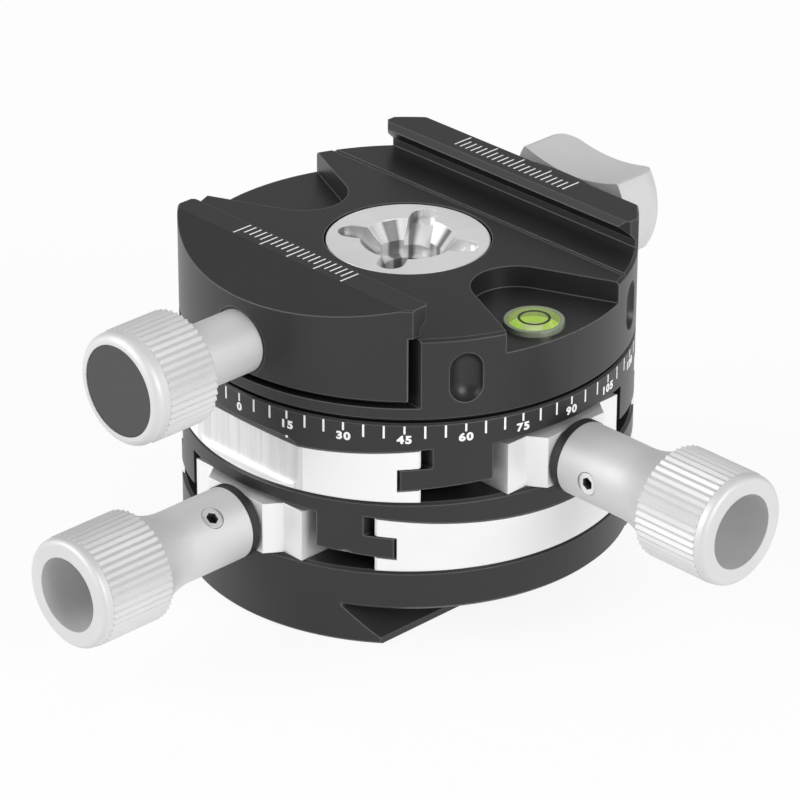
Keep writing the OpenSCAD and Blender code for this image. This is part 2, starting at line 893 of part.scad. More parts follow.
module upper_rack_screws()
    color(steel) on_stage(1) rack_screws(dial_h);

// The hub: flange on the dial, barrel that the clamp turns on, bore for the nut
module pan_hub()
    color(steel)
        difference() {
            translate([0, 0, dial_top]) {
                cylinder(r = hub_r, h = hub_h);
                cylinder(r = flange_r, h = flange_t);
            }
            translate([0, 0, dial_top - cut])
                cylinder(r = barrel_r + run_gap, h = hub_h + 2 * cut);
            hub_screw_places()
                screw_hole(far, $fn = 48);
        }

module hub_screw_places()
    for (k = [0 : 3])
        rotate([0, 0, hub_screw_turn + 90 * (k + 1)])
            translate([hub_screw_circle, 0, dial_top + flange_t - run_gap])
                rotate([180, 0, 0])
                    children();

module hub_screws()
    color(steel)
        hub_screw_places()
            flat_screw(flange_t + screw_bite - run_gap, $fn = 48);

module friction_ring()
    color([0.9, 0.9, 0.85])
        translate([0, 0, dial_top + flange_t])
            difference() {
                cylinder(r = flange_r - 0.2, h = friction_t);
                translate([0, 0, -cut])
                    cylinder(r = hub_r + free_gap, h = far);
            }

// The nut: flange with a funnel and four slots, barrel screwed into the hub
module centre_nut()
    color(silver)
        difference() {
            union() {
                translate([0, 0, counterbore_z])
                    cylinder(r = nut_r, h = nut_top - counterbore_z - 0.15);
                translate([0, 0, nut_top - 0.15])
                    cylinder(r1 = nut_r, r2 = nut_r - 0.15, h = 0.15);
                translate([0, 0, dial_top + flange_t])
                    cylinder(r = barrel_r, h = counterbore_z - dial_top - flange_t + cut);
            }
            translate([0, 0, dial_top])
                cylinder(r = nut_bore_r, h = far);
            translate([0, 0, nut_top - cup_depth])
                cylinder(r = cup_r, h = far);
            translate([0, 0, nut_top - funnel_depth])
                cylinder(r1 = cup_r, r2 = funnel_r, h = funnel_depth + 0.001);
            for (k = [0 : 3])
                rotate([0, 0, slot_turn + 90 * k])
                    nut_slot();
        }

// One slot, open at the top: round outer end, flat part, slope down into the cup
module nut_slot() {
    end_x = slot_reach - slot_w / 2;
    translate([0, 0, nut_top]) {
        rotate([90, 0, 0])
            linear_extrude(height = slot_w, center = true)
                polygon([
                    [0, cut], [0, -slot_slope_depth], [cup_r - 0.2, -slot_slope_depth],
                    [slot_bend, -slot_depth], [end_x, -slot_depth], [end_x, cut]
                ]);
        translate([end_x, 0, -slot_depth])
            cylinder(r = slot_w / 2, h = slot_depth + cut, $fn = 48);
    }
}

// Outline of one jaw's inside, as [distance from the middle, height]
function jaw_tip() = [
    [root_y, floor_z],
    [root_y, jaw_top - tip_drop - root_depth],
    [tip_y, jaw_top - tip_drop],
    [tip_y + tip_drop, jaw_top]
];

// Extrudes an outline in [Y, Z] along X
module along_x(length)
    rotate([90, 0, 90])
        linear_extrude(height = length, center = true)
            children();

// A pocket with a round inner end and flared sides, open at the rim
module pocket() {
    touch_x = pocket_x - pocket_r * sin(pocket_flare);
    touch_y = pocket_r * cos(pocket_flare);
    rim_x = body_r + 2 * cut;
    rim_y = touch_y + (rim_x - touch_x) * tan(pocket_flare);
    translate([0, 0, pocket_z])
        linear_extrude(height = far) {
            translate([pocket_x, 0])
                circle(r = pocket_r);
            polygon([
                [touch_x, -touch_y], [rim_x, -rim_y], [rim_x, rim_y], [touch_x, touch_y]
            ]);
        }
}

// An upright oval recess, as a ball-ended cutter leaves it
module oval(angle)
    rotate([0, 0, angle - 90])
        translate([body_r - oval_depth + oval_r, 0, clamp_z + 2.4]) {
            span = oval_h - 2 * sqrt(oval_r * oval_r - pow(oval_r - oval_depth, 2));
            translate([0, 0, (oval_h - span) / 2]) {
                sphere(r = oval_r, $fn = 48);
                cylinder(r = oval_r, h = span, $fn = 48);
                translate([0, 0, span])
                    sphere(r = oval_r, $fn = 48);
            }
        }

// The corners cut off both ends of a jaw's tip, for the jaw on the +Y side
module nose_cuts(half_w)
    for (side = [-1, 1])
        translate([side * half_w, tip_y, floor_z + far / 2])
            rotate([0, 0, 45])
                cube([nose_chamfer * sqrt(2), nose_chamfer * sqrt(2), far], center = true);

module clamp_body()
    color(black)
        difference() {
            union() {
                round_body(body_r, clamp_z, floor_z);
                intersection() {
                    round_body(body_r, clamp_z, jaw_top, edge_chamfer, 0.2);
                    along_x(2 * fixed_half_w)
                        polygon(concat(jaw_tip(), [
                            [fixed_back_y - 0.4, jaw_top], [fixed_back_y, jaw_top - 0.4],
                            [fixed_back_y, floor_z - cut], [root_y, floor_z - cut]
                        ]));
                }
            }
            nose_cuts(fixed_half_w);
            translate([-far / 2, groove_y, floor_z - groove_depth])
                cube([far, groove_w, groove_depth + 0.2]);
            // The slot of the sliding jaw
            translate([-slot_half_w, -far - slot_y, slot_z])
                cube([2 * slot_half_w, far, far]);
            for (side = [0, 180])
                rotate([0, 0, side])
                    pocket();
            for (angle = [60, 120, 240, 300])
                oval(angle);
            // The hub's bore, the room for its flange and the nut's counterbore
            translate([0, 0, clamp_z - cut])
                cylinder(r = hub_r + run_gap, h = far);
            translate([0, 0, clamp_z - cut])
                cylinder(
                    r = flange_r + free_gap,
                    h = cut + flange_t + friction_t - pan_gap
                );
            translate([0, 0, counterbore_z])
                cylinder(r = nut_r + 0.2, h = far);
            // The bores of the clamp screw, guide pins and springs
            rod(clamp_screw_r + run_gap, bore_end, far, screw_z);
            for (side = [-1, 1]) {
                translate([side * pin_x, 0, 0])
                    rod(pin_r + run_gap, pin_bore_end, far, pin_z);
                translate([side * spring_x, 0, 0])
                    rod(spring_r + wire_r + 0.1, slot_y - spring_len - free_gap, far, pin_z);
            }
            // The bores of the lock screw and its shoe, and the flat round them
            rod(shoe_r + run_gap, -far, 0, screw_z);
            rod(lock_screw_r + run_gap, -far, -lock_start, screw_z);
            rod(spot_face_r, -far, -(body_r - 0.8), screw_z);
            // The bore of the bubble level
            translate([level_x, level_y, level_z])
                cylinder(r = level_r + run_gap, h = far);
        }

module sliding_jaw()
    color(black)
        difference() {
            intersection() {
                round_body(body_r, jaw_bottom, jaw_top, 0.3, 0.2);
                mirror([0, 1, 0])
                    along_x(2 * jaw_half_w)
                        polygon(concat(
                            [[skirt_y, jaw_bottom], [skirt_y, jaw_under], [root_y, jaw_under]],
                            [for (k = [1 : 3]) jaw_tip()[k]],
                            [
                                [tip_y + tip_drop + jaw_flat, jaw_top],
                                [body_r, jaw_top - slope_drop],
                                [body_r + cut, jaw_top - slope_drop],
                                [body_r + cut, jaw_bottom]
                            ]
                        ));
            }
            mirror([0, 1, 0])
                nose_cuts(jaw_half_w);
            rod(clamp_screw_r + 0.1, 0, far, screw_z);
            rod(clamp_neck_r + 0.4, jaw_face, far, screw_z);
            for (side = [-1, 1])
                translate([side * pin_x, 0, 0])
                    rod(pin_r + 0.02, 0, skirt_y + pin_in_jaw + run_gap, pin_z);
        }

module guide_pins()
    color(steel)
        for (side = [-1, 1])
            translate([side * pin_x, 0, 0])
                rod(pin_r, slot_y - pin_in_body, skirt_y + pin_in_jaw, pin_z);

// The springs, pressed together in their bores as when the jaw is closed
module jaw_springs()
    color(steel)
        for (side = [-1, 1])
            translate([side * spring_x, spring_len + 0.2 - slot_y, pin_z])
                rotate([90, 0, 0])
                    spring(spring_len);

// A round-wire helix along +Z, swept as rings of points
module spring(length) {
    sides = 6;
    steps = 10;
    rings = spring_turns * steps;
    points = [
        for (i = [0 : rings], k = [0 : sides - 1])
            let (
                a = 360 * i / steps,
                b = 360 * k / sides,
                r = spring_r + wire_r * cos(b)
            )
                [r * cos(a), r * sin(a), wire_r + (length - 2 * wire_r) * i / rings + wire_r * sin(b)]
    ];
    faces = concat(
        [[for (k = [0 : sides - 1]) k]],
        [[for (k = [sides - 1 : -1 : 0]) rings * sides + k]],
        [
            for (i = [0 : rings - 1], k = [0 : sides - 1])
                let (n = (k + 1) % sides)
                    [i * sides + k, (i + 1) * sides + k, (i + 1) * sides + n, i * sides + n]
        ]
    );
    polyhedron(points, faces, convexity = 10);
}

module clamp_screw()
    color(steel)
        rod(clamp_screw_r, screw_tip, jaw_face + clamp_neck_len + 4, screw_z);

module clamp_knob()
    color(silver)
        difference() {
            union() {
                rod(clamp_neck_r, jaw_face + run_gap, jaw_face + clamp_neck_len, screw_z);
                translate([0, -jaw_face - clamp_neck_len + 0.01, screw_z])
                    rotate([90, 0, 0])
                        cylinder(
                            r1 = clamp_grip_r - 1.4,
                            r2 = clamp_grip_r - flute_depth - flare_sink,
                            h = 1
                        );
                grip(
                    clamp_grip_r,
                    jaw_face + clamp_neck_len + 0.9,
                    jaw_face + clamp_neck_len + clamp_grip_len,
                    screw_z,
                    clamp_rim_round
                );
            }
            rod(clamp_screw_r + 0.02, 0, jaw_face + clamp_neck_len + 4.1, screw_z);
            rod(cap_r + run_gap, jaw_face + clamp_neck_len + clamp_grip_len - cap_t, far, screw_z);
        }

module knob_cap()
    color([0.2, 0.2, 0.21])
        rod(
            cap_r,
            jaw_face + clamp_neck_len + clamp_grip_len - cap_t,
            jaw_face + clamp_neck_len + clamp_grip_len - 0.1,
            screw_z
        );

// The wing lever: a bow tie with rounded ends, round its screw
module pan_lock_lever()
    color(silver)
        difference() {
            translate([0, lever_y + wing_depth, screw_z])
                rotate([90, 0, 0])
                    intersection() {
                        linear_extrude(height = wing_depth)
                            wing_outline();
                        wing_rounding();
                    }
            rod(lock_screw_r + 0.02, -(lever_y + 4.1), 0, screw_z);
        }

// Seen along the screw: wide ends, waists above and below
module wing_outline() {
    span = wing_half * 0.8;
    waist_r = (span * span + wing_dip * wing_dip) / (2 * wing_dip);
    difference() {
        intersection() {
            square([2 * wing_half, 2 * wing_half_h], center = true);
            circle(r = wing_half);
        }
        for (side = [-1, 1])
            translate([0, side * (wing_half_h - wing_dip + waist_r)])
                circle(r = waist_r, $fn = 180);
    }
}

// A disc round the lever's screw, its far edge rounded and its near edge at full depth
module wing_rounding()
    rotate_extrude() {
        square([wing_half - wing_round, wing_depth]);
        translate([0, wing_round])
            square([wing_half, wing_depth - wing_round]);
        translate([wing_half - wing_round, wing_round])
            circle(r = wing_round, $fn = 64);
    }

module pan_lock_screw()
    color(steel)
        rod(lock_screw_r, -(lever_y + 4), -(lock_start + 0.3), screw_z);

module pan_lock_shoe()
    color(brass)
        rod(shoe_r, -lock_start, -shoe_tip, screw_z);

module level_cup()
    color([0.8, 0.82, 0.8])
        translate([level_x, level_y, level_z])
            difference() {
                cylinder(r = level_r, h = level_h - 0.2);
                translate([0, 0, 0.8])
                    cylinder(r = level_r - level_wall, h = level_h);
            }

module level_liquid()
    color([0.75, 0.9, 0.35])
        translate([level_x, level_y, level_z + 0.8])
            cylinder(r = level_r - level_wall - 0.03, h = level_h - 2.2);

module level_lens()
    color([0.85, 0.92, 0.8])
        translate([level_x, level_y, level_z + level_h - 1.4]) {
            lens_r = level_r - level_wall - 0.03;
            cylinder(r = lens_r, h = 1.2);
            translate([0, 0, 1.2])
                cylinder(r1 = lens_r, r2 = lens_r - 0.4, h = 0.2);
        }

base_plate();
lower_rail_left();
lower_rail_right();
lower_rail_screws();
lower_worm_housing();
lower_housing_screws();
lower_end_bearing();
lower_worm();
lower_washer();
lower_knob();
lower_set_screw();
middle_plate();
lower_rack();
lower_rack_screws();
upper_rail_front();
upper_rail_back();
upper_rail_screws();
upper_worm_housing();
upper_housing_screws();
upper_end_bearing();
upper_worm();
upper_washer();
upper_knob();
upper_set_screw();
dial_body();
upper_rack();
upper_rack_screws();
pan_hub();
hub_screws();
friction_ring();
centre_nut();
clamp_body();
sliding_jaw();
guide_pins();
jaw_springs();
clamp_screw();
clamp_knob();
knob_cap();
pan_lock_lever();
pan_lock_screw();
pan_lock_shoe();
level_cup();
level_liquid();
level_lens();
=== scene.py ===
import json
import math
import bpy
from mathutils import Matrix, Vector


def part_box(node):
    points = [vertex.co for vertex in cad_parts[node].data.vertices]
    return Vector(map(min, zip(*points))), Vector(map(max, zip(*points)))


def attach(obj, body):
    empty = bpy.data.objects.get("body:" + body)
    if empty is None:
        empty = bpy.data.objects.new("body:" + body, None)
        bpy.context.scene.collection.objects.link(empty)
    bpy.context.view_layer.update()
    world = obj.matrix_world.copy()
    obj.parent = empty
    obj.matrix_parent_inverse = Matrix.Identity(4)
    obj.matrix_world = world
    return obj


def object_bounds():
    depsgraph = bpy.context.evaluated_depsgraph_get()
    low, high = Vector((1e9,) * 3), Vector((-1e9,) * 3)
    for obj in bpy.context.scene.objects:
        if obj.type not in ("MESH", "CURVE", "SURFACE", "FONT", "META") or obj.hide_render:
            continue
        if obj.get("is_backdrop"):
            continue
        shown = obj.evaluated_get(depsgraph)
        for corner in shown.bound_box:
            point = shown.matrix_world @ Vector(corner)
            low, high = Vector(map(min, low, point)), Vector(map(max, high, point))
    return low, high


bl_info = {
    "name": "Levelling Pan Head",
    "version": (1, 0, 0),
    "blender": (4, 5, 0),
    "location": "View3D > Sidebar > Pan Head",
    "description": "Finishes a levelling pan head: metal, dial, rulers, thread and bubble level",
    "category": "Add Mesh",
}

import bmesh
import bpy
from bpy.props import FloatProperty, FloatVectorProperty, IntProperty, PointerProperty
from bpy.types import Operator, Panel, PropertyGroup
from mathutils import Matrix, Vector

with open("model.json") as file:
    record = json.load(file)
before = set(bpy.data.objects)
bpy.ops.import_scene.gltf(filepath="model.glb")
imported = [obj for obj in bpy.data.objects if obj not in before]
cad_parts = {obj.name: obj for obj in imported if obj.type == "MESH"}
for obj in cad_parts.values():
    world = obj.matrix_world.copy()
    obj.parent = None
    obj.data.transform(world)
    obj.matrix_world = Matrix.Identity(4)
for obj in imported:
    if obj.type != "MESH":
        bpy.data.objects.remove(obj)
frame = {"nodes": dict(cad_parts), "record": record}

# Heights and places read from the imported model, in metres
DIAL_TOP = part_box("dial_body")[1].z
DIAL_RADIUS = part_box("dial_body")[1].y
JAW_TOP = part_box("clamp_body")[1].z
NUT_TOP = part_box("centre_nut")[1].z
LENS_LOW, LENS_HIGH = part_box("level_lens")
LENS_CENTRE = (LENS_LOW + LENS_HIGH) / 2
FOOT_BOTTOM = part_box("base_plate")[0].z

MILLIMETRE = 0.001

# Depths of fine and coarse relief on metal
FINE = 0.02 * MILLIMETRE
COARSE = 0.03 * MILLIMETRE

# How thick a painted mark is, half of it above the surface
DIAL_MARK = 0.04 * MILLIMETRE
RULER_MARK = 0.03 * MILLIMETRE

# The plane of the milled flat on the front rail, between two heights along Y
FLAT_FROM = -28.7 * MILLIMETRE
FLAT_TO = -28.3 * MILLIMETRE

# Each light's place and width
TOP_LIGHT = ((-0.1, 0.25, 0.95), 0.95)
LEFT_LIGHT = ((-0.5, -0.85, 0.5), 0.7)
RIGHT_LIGHT = ((0.9, 0.0, 0.42), 0.55)
AIM = Vector((0.0, 0.0, 0.03))

# The camera where the photograph was taken from
CAMERA_RIGHT = Vector((0.69646922, 0.71757878, 0.00336364))
CAMERA_UP = Vector((-0.3308554, 0.31695585, 0.8888609))
CAMERA_PLACE = Vector((0.3865188, -0.3783764, 0.29890173))


def length(name, text, default, low=0.0, high=0.2):
    """A distance in metres, shown in the sidebar."""
    return FloatProperty(
        name=name, description=text, default=default, min=low, max=high, subtype="DISTANCE",
        unit="LENGTH", precision=5,
    )


def colour(name, text, default):
    """A colour, shown in the sidebar."""
    return FloatVectorProperty(
        name=name, description=text, default=default, size=3, min=0.0, max=1.0, subtype="COLOR"
    )


def share(name, text, default, high=1.0):
    """A plain number from 0 to a limit."""
    return FloatProperty(name=name, description=text, default=default, min=0.0, max=high)


class FinishSettings(PropertyGroup):
    black: colour("Black", "Colour of the black anodised bodies", (0.0145, 0.0145, 0.015))
    # Painted highlight: a light colour painted on the black bodies' rounded edges, standing in for
    # the light those edges catch
    black_edge: colour(
        "Black edges", "Colour of the black bodies' worn edges", (0.17, 0.17, 0.175)
    )
    black_roughness: share("Black roughness", "How matt the black anodising is", 0.38)
    silver: colour("Silver", "Colour of the rails and worm housings", (0.9, 0.9, 0.905))
    silver_roughness: share("Silver roughness", "How matt the rails and housings are", 0.38)
    knob: colour("Knobs", "Colour of the bead-blasted knobs and lever", (0.69, 0.69, 0.695))
    knob_roughness: share("Knob roughness", "How matt the knobs and the lever are", 0.55)
    nut: colour("Centre nut", "Colour of the turned centre nut", (0.9, 0.9, 0.905))
    steel: colour("Steel", "Colour of screws, worms and shafts", (0.56, 0.56, 0.57))
    brass: colour("Brass", "Colour of racks and bearings", (0.78, 0.57, 0.25))
    rubber: colour("Washers", "Colour of the washers behind the knobs", (0.012, 0.012, 0.012))
    cap: colour("Knob cap", "Colour of the cap in the clamp knob", (0.045, 0.045, 0.048))
    edge: length("Edge round", "Rounding seen on machined edges", 0.13 * MILLIMETRE)
    grain: share("Grain", "Strength of the bead-blasted grain", 0.12)


class DialSettings(PropertyGroup):
    paint: colour("Paint", "Colour of the marks and numbers", (0.97, 0.97, 0.97))
    step: IntProperty(
        name="Step", description="Degrees from one mark to the next", default=5, min=1, max=15
    )
    number_step: IntProperty(
        name="Number step", description="Degrees from one number to the next",
        default=15, min=5, max=90,
    )
    top_drop: length("Top drop", "From the dial's top down to the marks", 0.3 * MILLIMETRE)
    long_mark: length("Long mark", "Height of a mark", 1.75 * MILLIMETRE)
    short_mark: length("Short mark", "Height of a mark above a number", 1.1 * MILLIMETRE)
    mark_width: length("Mark width", "Width of a mark", 0.27 * MILLIMETRE)
    number_height: length("Number height", "Height of a digit", 1.08 * MILLIMETRE)
    number_drop: length(
        "Number drop", "From the marks' tops down to the numbers' middles", 1.95 * MILLIMETRE
    )
    number_stretch: share("Number stretch", "Width of the digits against their height", 1.15, 2.0)
    number_bold: share("Number bold", "Thickening of the digits' strokes", 0.05, 0.2)
    dot_radius: length("Dot radius", "Radius of the dot below the second number", 0.2 * MILLIMETRE)
    dot_drop: length("Dot drop", "From the marks' tops down to the dot", 3.65 * MILLIMETRE)


class RulerSettings(PropertyGroup):
    pitch: length("Pitch", "From one ruler mark to the next", 1.0 * MILLIMETRE)
    count: IntProperty(
        name="Marks", description="Number of marks on each jaw", default=21, min=5, max=41
    )
    mark_width: length("Mark width", "Width of a ruler mark", 0.2 * MILLIMETRE)
    short_mark: length("Short mark", "Length of a plain mark", 2.1 * MILLIMETRE)
    long_mark: length("Long mark", "Length of every fifth mark", 3.1 * MILLIMETRE)
    offset: length("Offset", "How far a ruler's middle lies towards -X", 0.5 * MILLIMETRE)
    fixed_start: length("Fixed jaw", "From the middle to the fixed jaw's marks", 19.0 * MILLIMETRE)
    slide_start: length("Sliding jaw", "From the middle to its marks", 18.05 * MILLIMETRE)


class LevelSettings(PropertyGroup):
    liquid: colour("Liquid", "Colour of the liquid", (0.6, 0.8, 0.16))
    glow: share("Glow", "How much the liquid seems to glow", 0.3)
    bubble: colour("Bubble", "Colour of the bubble", (0.74, 0.9, 0.4))
    ring_radius: length("Ring radius", "Radius of the black ring", 1.95 * MILLIMETRE)
    ring_width: length("Ring width", "Width of the black ring", 0.34 * MILLIMETRE)
    bubble_radius: length("Bubble radius", "Radius of the bubble", 1.45 * MILLIMETRE)


class ThreadSettings(PropertyGroup):
    pitch: length("Pitch", "Pitch of the tripod thread", 25.4 / 16 * MILLIMETRE)
    depth: length("Depth", "Height of the thread's ridge", 0.45 * MILLIMETRE)
    turns: share("Turns", "Turns of the thread", 4.7, 10.0)


class StageSettings(PropertyGroup):
    floor: colour("Floor", "Colour of the floor", (0.9, 0.9, 0.9))
    floor_lift: share("Floor lift", "How much the floor is lifted towards white", 0.9)
    world: share("Sky", "Strength of the even light all round", 0.4, 3.0)
    key: share("Top light", "Power of the large light overhead, in watts", 1.1, 40.0)
    side: share("Left light", "Power of the tall light on the left, in watts", 8.0, 40.0)
    rim: share("Right light", "Power of the light on the right, in watts", 5.6, 40.0)
    shift: FloatProperty(name="Shift", description="Sideways shift of the picture", default=0.004)
    lens: share("Lens", "Focal length of the camera, in millimetres", 206.3, 400.0)


GROUPS = {
    "pan_head_finish": FinishSettings,
    "pan_head_dial": DialSettings,
    "pan_head_rulers": RulerSettings,
    "pan_head_level": LevelSettings,
    "pan_head_thread": ThreadSettings,
    "pan_head_stage": StageSettings,
}


class Signal:
    """An output socket that adds a Math node for each operator used on it."""

    def __init__(self, paint, socket):
        self.paint = paint
        self.socket = socket

    def math(self, operation, *values):
        return self.paint.node(
            "ShaderNodeMath", {"operation": operation}, dict(enumerate(values))
        )

    def __add__(self, other):
        return self.math("ADD", self, other)

    __radd__ = __add__

    def __sub__(self, other):
        return self.math("SUBTRACT", self, other)

    def __rsub__(self, other):
        return self.math("SUBTRACT", other, self)

    def __mul__(self, other):
        return self.math("MULTIPLY", self, other)

    __rmul__ = __mul__

    def __pow__(self, other):
        return self.math("POWER", self, other)

    def over(self, other):
        return self.math("DIVIDE", self, other)

    def __lt__(self, other):
        return self.math("LESS_THAN", self, other)

    def __gt__(self, other):
        return self.math("GREATER_THAN", self, other)


class Paint:
    """A material under construction: its nodes, and the shader they feed."""

    def __init__(self, name, **constants):
        self.material = bpy.data.materials.new(name)
        self.material.use_nodes = True
        self.tree = self.material.node_tree
        self.shader = self.tree.nodes["Principled BSDF"]
        for socket, value in constants.items():
            self.feed(self.shader.inputs[socket.replace("_", " ")], value)

    def feed(self, socket, value):
        """Links a signal to a socket, or sets the socket's own value."""
        if isinstance(value, Signal):
            self.tree.links.new(value.socket, socket)
        elif socket.type == "RGBA" and len(value) == 3:
            socket.default_value = (*value, 1.0)
        else:
            socket.default_value = value

    def node(self, kind, settings=None, values=None, output=0):
        """Adds a node: its settings first, then the values or links of its sockets."""
        made = self.tree.nodes.new(kind)
        for name, setting in (settings or {}).items():
            if name == "stops":
                for stop, (place, tone) in zip(made.color_ramp.elements, setting):
                    stop.position = place
                    stop.color = (*tone, 1.0)
            else:
                setattr(made, name, setting)
        for name, value in (values or {}).items():
            self.feed(made.inputs[name], value)
        return Signal(self, made.outputs[output])

    def place(self):
        """Position in the object's own frame, in metres."""
        return self.node("ShaderNodeTexCoord", output="Object")

    def axes(self):
        """The three coordinates of that position."""
        split = self.tree.nodes.new("ShaderNodeSeparateXYZ")
        self.feed(split.inputs[0], self.place())
        return [Signal(self, output) for output in split.outputs]

    def noise(self, scale, detail=2.0, stretch=None, where=None):
        """Noise from 0 to 1; scale is per metre, and stretch weighs the three axes."""
        where = where or self.place()
        if stretch:
            where = self.node(
                "ShaderNodeVectorMath", {"operation": "MULTIPLY"}, {0: where, 1: stretch}, "Vector"
            )
        return self.node(
            "ShaderNodeTexNoise", None, {"Vector": where, "Scale": scale, "Detail": detail}
        )

    def blend(self, first, second, amount):
        """Mixes two colours."""
        return self.node(
            "ShaderNodeMix", {"data_type": "RGBA"}, {0: amount, 6: first, 7: second}, 2
        )

    def edges(self, radius, gain):
        """A mask that is 1 on edges: where a rounded normal parts from the true one."""
        soft = self.node("ShaderNodeBevel", {"samples": 6}, {"Radius": radius})
        true = self.node("ShaderNodeNewGeometry", output="True Normal")
        same = self.node(
            "ShaderNodeVectorMath", {"operation": "DOT_PRODUCT"}, {0: soft, 1: true}, "Value"
        )
        return self.node("ShaderNodeClamp", None, {"Value": gain * (1.0 - same)})

    def surface(self, **signals):
        """Feeds the shader's varying sockets."""
        for name, value in signals.items():
            self.feed(self.shader.inputs[name.replace("_", " ")], value)

    def relief(self, height, strength, depth, edge=None):
        """A bump over softly rounded edges."""
        values = {"Height": height, "Strength": strength, "Distance": depth}
        if edge:
            values["Normal"] = self.node("ShaderNodeBevel", {"samples": 4}, {"Radius": edge})
        self.surface(Normal=self.node("ShaderNodeBump", None, values, "Normal"))


def shade(tone, factor):
    """A colour made lighter or darker."""
    return tuple(min(1.0, part * factor) for part in tone)


def coat(paint, *names):
    """Gives CAD nodes a material in their own material slots."""
    for name in names:
        for spot in frame["nodes"][name].material_slots:
            spot.material = paint.material


def blasted(name, tone, roughness, settings, metallic=0.0, grain=1.0, painted_light_tone=None):
    """Bead-blasted anodised metal: fine grain, faint clouds, and optionally a painted highlight
    that lightens rounded edges where they catch the light.
    """
    paint = Paint(name, Metallic=metallic)
    clouds = paint.noise(90.0, 3.0)
    fine = paint.noise(5200.0, 1.0)
    skin = paint.blend(shade(tone, 0.9), shade(tone, 1.08), clouds)
    if painted_light_tone:
        # Painted highlight: rounded edges are lightened towards the given tone, standing in for
        # light caught by the edges
        edge_highlight_mask = paint.edges(2.2 * settings.edge, 8.0) * (0.45 + 0.55 * clouds)
        skin = paint.blend(skin, painted_light_tone, edge_highlight_mask)
    paint.surface(
        Base_Color=skin,
        Roughness=roughness - 0.05 + 0.06 * clouds + 0.05 * fine,
    )
    paint.relief(fine, settings.grain * grain, COARSE, settings.edge)
    return paint


def turned(name, tone, roughness, settings, metallic=1.0, rings=0.25):
    """Metal turned on a lathe about the pan axis: fine rings that catch the light."""
    paint = Paint(name, Metallic=metallic)
    x, y, z = paint.axes()
    radius = (x ** 2.0 + y ** 2.0) ** 0.5
    along = paint.node("ShaderNodeCombineXYZ", None, {0: radius, 1: z * 0.6})
    groove = paint.noise(5200.0, 2.0, where=along)
    paint.surface(
        Base_Color=paint.blend(shade(tone, 0.88), shade(tone, 1.06), groove),
        Roughness=roughness + 0.1 * groove,
    )
    paint.relief(groove, rings, FINE, settings.edge)
    return paint


def piece(name, shape, paint, body):
    """Makes an object from a bmesh, gives it a material and lets it ride on a body."""
    mesh = bpy.data.meshes.new(name)
    bmesh.ops.recalc_face_normals(shape, faces=shape.faces)
    shape.to_mesh(mesh)
    shape.free()
    made = bpy.data.objects.new(name, mesh)
    bpy.context.collection.objects.link(made)
    made.data.materials.append(paint.material)
    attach(made, body)
    return made


def add_bar(shape, size, matrix):
    """Adds a box of a size, centred on a matrix."""
    corners = bmesh.ops.create_cube(shape, size=1.0)["verts"]
    bmesh.ops.scale(shape, vec=size, verts=corners)
    bmesh.ops.transform(shape, matrix=matrix, verts=corners)


def on_dial(angle, height, radius):
    """Frame of a spot on the dial: X along the band, Y up, Z outwards."""
    turn = math.radians(angle)
    out = Vector((math.sin(turn), -math.cos(turn), 0.0))
    along = Vector((math.cos(turn), math.sin(turn), 0.0))
    up = Vector((0.0, 0.0, 1.0))
    matrix = Matrix((along, up, out)).transposed().to_4x4()
    matrix.translation = out * radius + up * height
    return matrix


def mark_paint(tone):
    """White filling paint of engraved marks, a little uneven."""
    paint = Paint("mark_white", Roughness=0.55)
    speckle = paint.noise(4000.0, 2.0)
    paint.surface(Base_Color=paint.blend(shade(tone, 0.9), tone, speckle))
    paint.relief(speckle, 0.1, 0.01 * MILLIMETRE)
    return paint


class PANHEAD_OT_black_bodies(Operator):
    """Finish the black anodised bodies and the knob washers"""

    bl_idname = "panhead.black_bodies"
    bl_label = "Black Bodies"

    def execute(self, context):
        finish = context.scene.pan_head_finish
        black = blasted(
            "black_anodised", tuple(finish.black), finish.black_roughness, finish,
            painted_light_tone=tuple(finish.black_edge),
        )
        coat(black, "base_plate", "middle_plate", "dial_body", "clamp_body", "sliding_jaw")
        rubber = Paint("washer_black", Roughness=0.5)
        soot = rubber.noise(900.0, 3.0)
        rubber.surface(
            Base_Color=rubber.blend(finish.rubber, shade(finish.rubber, 1.8), soot)
        )
        rubber.relief(soot, 0.2, COARSE, finish.edge)
        coat(rubber, "lower_washer", "upper_washer")
        return {"FINISHED"}


class PANHEAD_OT_silver_rails(Operator):
    """Finish the curved rails and the worm housings"""

    bl_idname = "panhead.silver_rails"
    bl_label = "Silver Rails"

    def execute(self, context):
        finish = context.scene.pan_head_finish
        silver = blasted(
            "rail_silver", tuple(finish.silver), finish.silver_roughness, finish, 0.45, 0.6
        )
        coat(
            silver, "lower_rail_left", "lower_rail_right", "upper_rail_back",
            "lower_worm_housing", "upper_worm_housing",
        )
        milled = Paint("rail_silver_milled", Metallic=0.3)
        x, y, z = milled.axes()
        flat = (y > FLAT_FROM) * (y < FLAT_TO)
        streaks = milled.noise(1600.0, 2.0, (1.0, 0.1, 0.04))
        tone = tuple(finish.silver)
        # Painted shade and painted reflection: the milled flat is darkened in streaks, standing in
        # for its shading and the knob reflected above it; the streaks in bump and roughness are
        # real brushing
        painted_light_tone = milled.blend(shade(tone, 0.62), shade(tone, 0.98), streaks)
        milled.surface(
            Base_Color=milled.blend(tone, painted_light_tone, flat),
            Roughness=finish.silver_roughness + 0.1 * streaks * flat,
        )
        milled.relief(streaks * flat, 0.35, COARSE, finish.edge)
        coat(milled, "upper_rail_front")
        return {"FINISHED"}


